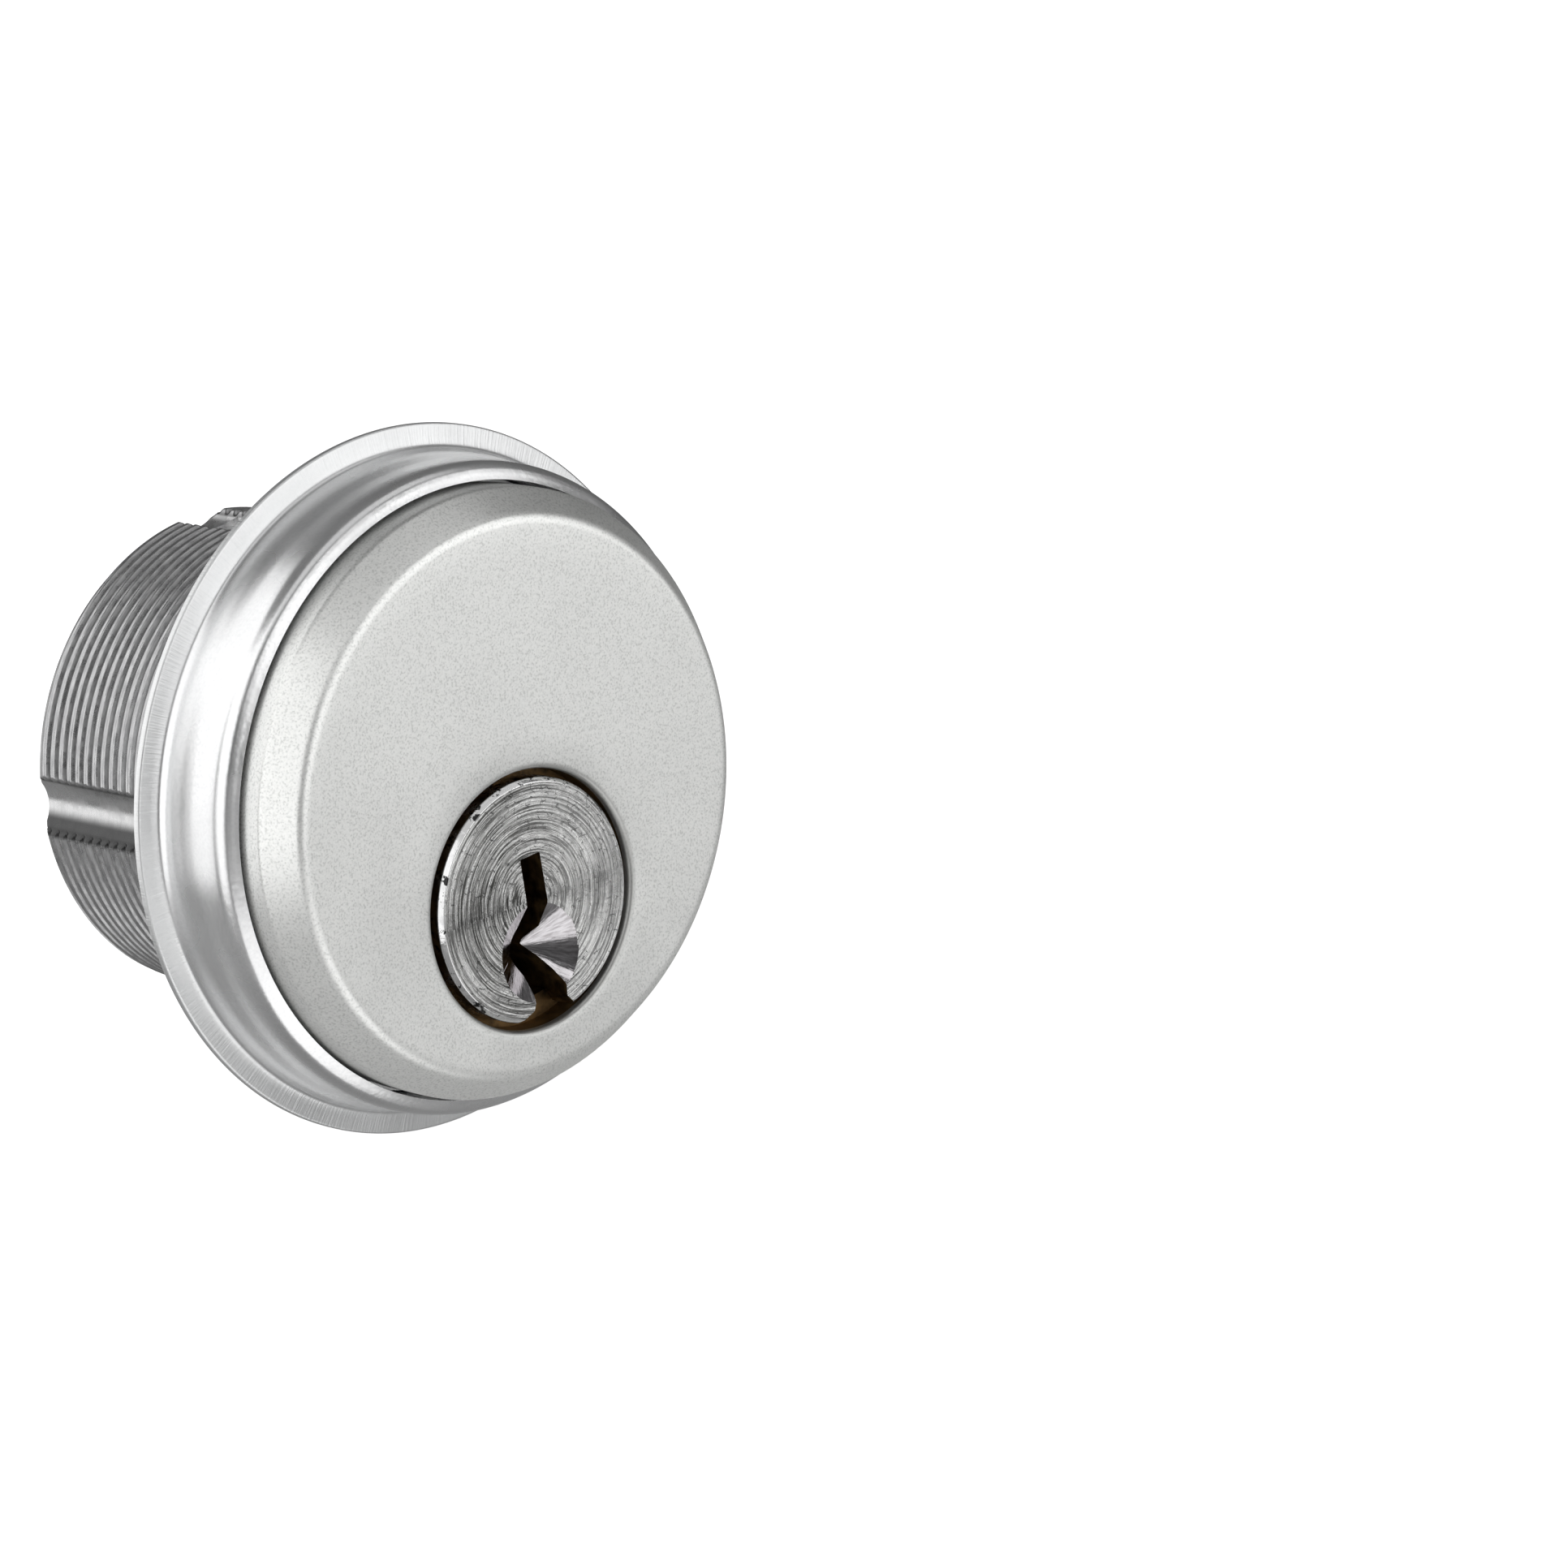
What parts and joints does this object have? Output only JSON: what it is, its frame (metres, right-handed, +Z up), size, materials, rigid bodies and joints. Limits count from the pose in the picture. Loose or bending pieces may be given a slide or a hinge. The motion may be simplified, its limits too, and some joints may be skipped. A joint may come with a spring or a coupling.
{
  "type": "mortise lock cylinder",
  "caption": "Keyed mortise cylinder for a deadbolt: chamfered round head in a stepped trim collar, threaded body, pin tumblers and a rear cam.",
  "frame": {"origin": "centre of the trim collar's back face, on the axis of the thread", "axes": "+Y along the thread into the door, -Y out of the lock's face, +Z up with the keyway below the thread's axis, +X to the right seen from the face"},
  "size_m": [0.0424, 0.0302, 0.0424],
  "materials": {
    "cylinder_shell": "satin silver paint on the head, bare machined thread",
    "trim_collar": "satin formed aluminium with a faint brushed flange",
    "plug": "plated nickel silver with turning marks and fine scratches",
    "pin_brass": "turned brass",
    "spring_steel": "bright spring wire",
    "cam_steel": "zinc plated steel"
  },
  "bodies": {
    "cylinder": {"cylinder_shell": "cylinder_shell", "pin_chamber_cover": "cylinder_shell", "pin_spring_1": "spring_steel", "pin_spring_2": "spring_steel", "pin_spring_3": "spring_steel", "pin_spring_4": "spring_steel", "pin_spring_5": "spring_steel"},
    "plug": {"plug": "plug", "cam": "cam_steel", "cam_screw_1": "cam_steel", "cam_screw_2": "cam_steel"},
    "key_pin_1": {"key_pin_1": "pin_brass"},
    "key_pin_2": {"key_pin_2": "pin_brass"},
    "key_pin_3": {"key_pin_3": "pin_brass"},
    "key_pin_4": {"key_pin_4": "pin_brass"},
    "key_pin_5": {"key_pin_5": "pin_brass"},
    "driver_pin_1": {"driver_pin_1": "pin_brass"},
    "driver_pin_2": {"driver_pin_2": "pin_brass"},
    "driver_pin_3": {"driver_pin_3": "pin_brass"},
    "driver_pin_4": {"driver_pin_4": "pin_brass"},
    "driver_pin_5": {"driver_pin_5": "pin_brass"},
    "wave_washer": {"collar_spring": "spring_steel"},
    "collar": {"trim_collar": "trim_collar"}
  },
  "joints": [
    {"name": "plug_turn", "type": "hinge", "parent": "cylinder", "child": "plug", "pos_m": [0, 0, -0.0062], "axis": [0, 1, 0], "continuous": true},
    {"name": "key_pin_1_drop", "type": "slide", "parent": "plug", "child": "key_pin_1", "axis": [0, 0, 1], "range_m": [-0.00235, 0]},
    {"name": "key_pin_2_drop", "type": "slide", "parent": "plug", "child": "key_pin_2", "axis": [0, 0, 1], "range_m": [-0.00135, 0]},
    {"name": "key_pin_3_drop", "type": "slide", "parent": "plug", "child": "key_pin_3", "axis": [0, 0, 1], "range_m": [-0.00315, 0]},
    {"name": "key_pin_4_drop", "type": "slide", "parent": "plug", "child": "key_pin_4", "axis": [0, 0, 1], "range_m": [-0.00185, 0]},
    {"name": "key_pin_5_drop", "type": "slide", "parent": "plug", "child": "key_pin_5", "axis": [0, 0, 1], "range_m": [-0.00275, 0]},
    {"name": "driver_pin_1_lift", "type": "slide", "parent": "cylinder", "child": "driver_pin_1", "axis": [0, 0, 1], "range_m": [0, 0.0032], "stiffness_N_per_m": 20, "springref_m": -0.004, "deforming": ["pin_spring_1"]},
    {"name": "driver_pin_2_lift", "type": "slide", "parent": "cylinder", "child": "driver_pin_2", "axis": [0, 0, 1], "range_m": [0, 0.0032], "stiffness_N_per_m": 20, "springref_m": -0.004, "deforming": ["pin_spring_2"]},
    {"name": "driver_pin_3_lift", "type": "slide", "parent": "cylinder", "child": "driver_pin_3", "axis": [0, 0, 1], "range_m": [0, 0.0032], "stiffness_N_per_m": 20, "springref_m": -0.004, "deforming": ["pin_spring_3"]},
    {"name": "driver_pin_4_lift", "type": "slide", "parent": "cylinder", "child": "driver_pin_4", "axis": [0, 0, 1], "range_m": [0, 0.0032], "stiffness_N_per_m": 20, "springref_m": -0.004, "deforming": ["pin_spring_4"]},
    {"name": "driver_pin_5_lift", "type": "slide", "parent": "cylinder", "child": "driver_pin_5", "axis": [0, 0, 1], "range_m": [0, 0.0032], "stiffness_N_per_m": 20, "springref_m": -0.004, "deforming": ["pin_spring_5"]},
    {"name": "collar_turn", "type": "hinge", "parent": "cylinder", "child": "wave_washer", "pos_m": [0, 0, 0], "axis": [0, 1, 0], "continuous": true},
    {"name": "collar_press", "type": "slide", "parent": "wave_washer", "child": "collar", "axis": [0, -1, 0], "range_m": [0, 0.0018], "stiffness_N_per_m": 1000, "springref_m": -0.001, "deforming": ["collar_spring"]}
  ]
}
